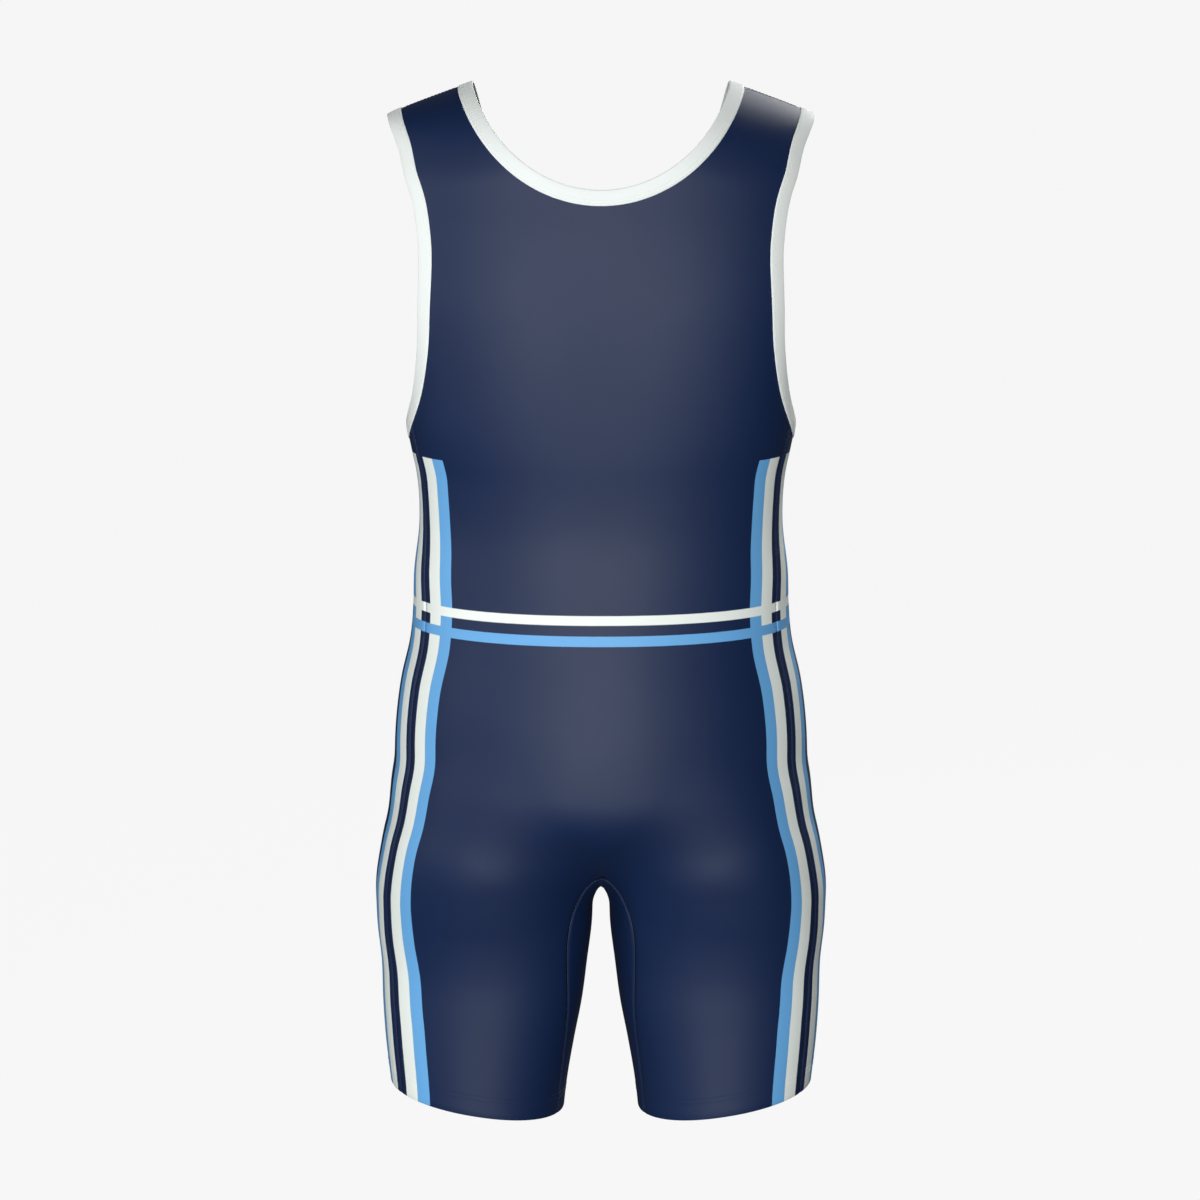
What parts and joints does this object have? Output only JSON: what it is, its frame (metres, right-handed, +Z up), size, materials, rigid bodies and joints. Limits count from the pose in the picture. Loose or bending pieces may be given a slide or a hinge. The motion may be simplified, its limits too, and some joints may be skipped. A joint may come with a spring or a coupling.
{
  "type": "wrestling singlet",
  "caption": "Sleeveless wrestling singlet in its hollow worn form, with mid-thigh legs, deep armholes, bound edges and printed side and waist stripes.",
  "frame": {"origin": "middle of the shoulder line, where the wearer's shoulders carry the garment", "axes": "+Z up, +Y towards the back of the garment, +X towards the wearer's left"},
  "size_m": [0.386, 0.2409, 0.8811],
  "materials": {
    "navy_knit": "smooth stretch knit with a soft sheen, printed with light blue and white stripes",
    "white_binding": "matt white stretch binding"
  },
  "bodies": {
    "root": {"back_panel": "navy_knit", "front_panel": "navy_knit", "crotch_gusset": "navy_knit", "neck_binding": "white_binding", "armhole_binding_left": "white_binding", "armhole_binding_right": "white_binding"}
  },
  "joints": []
}
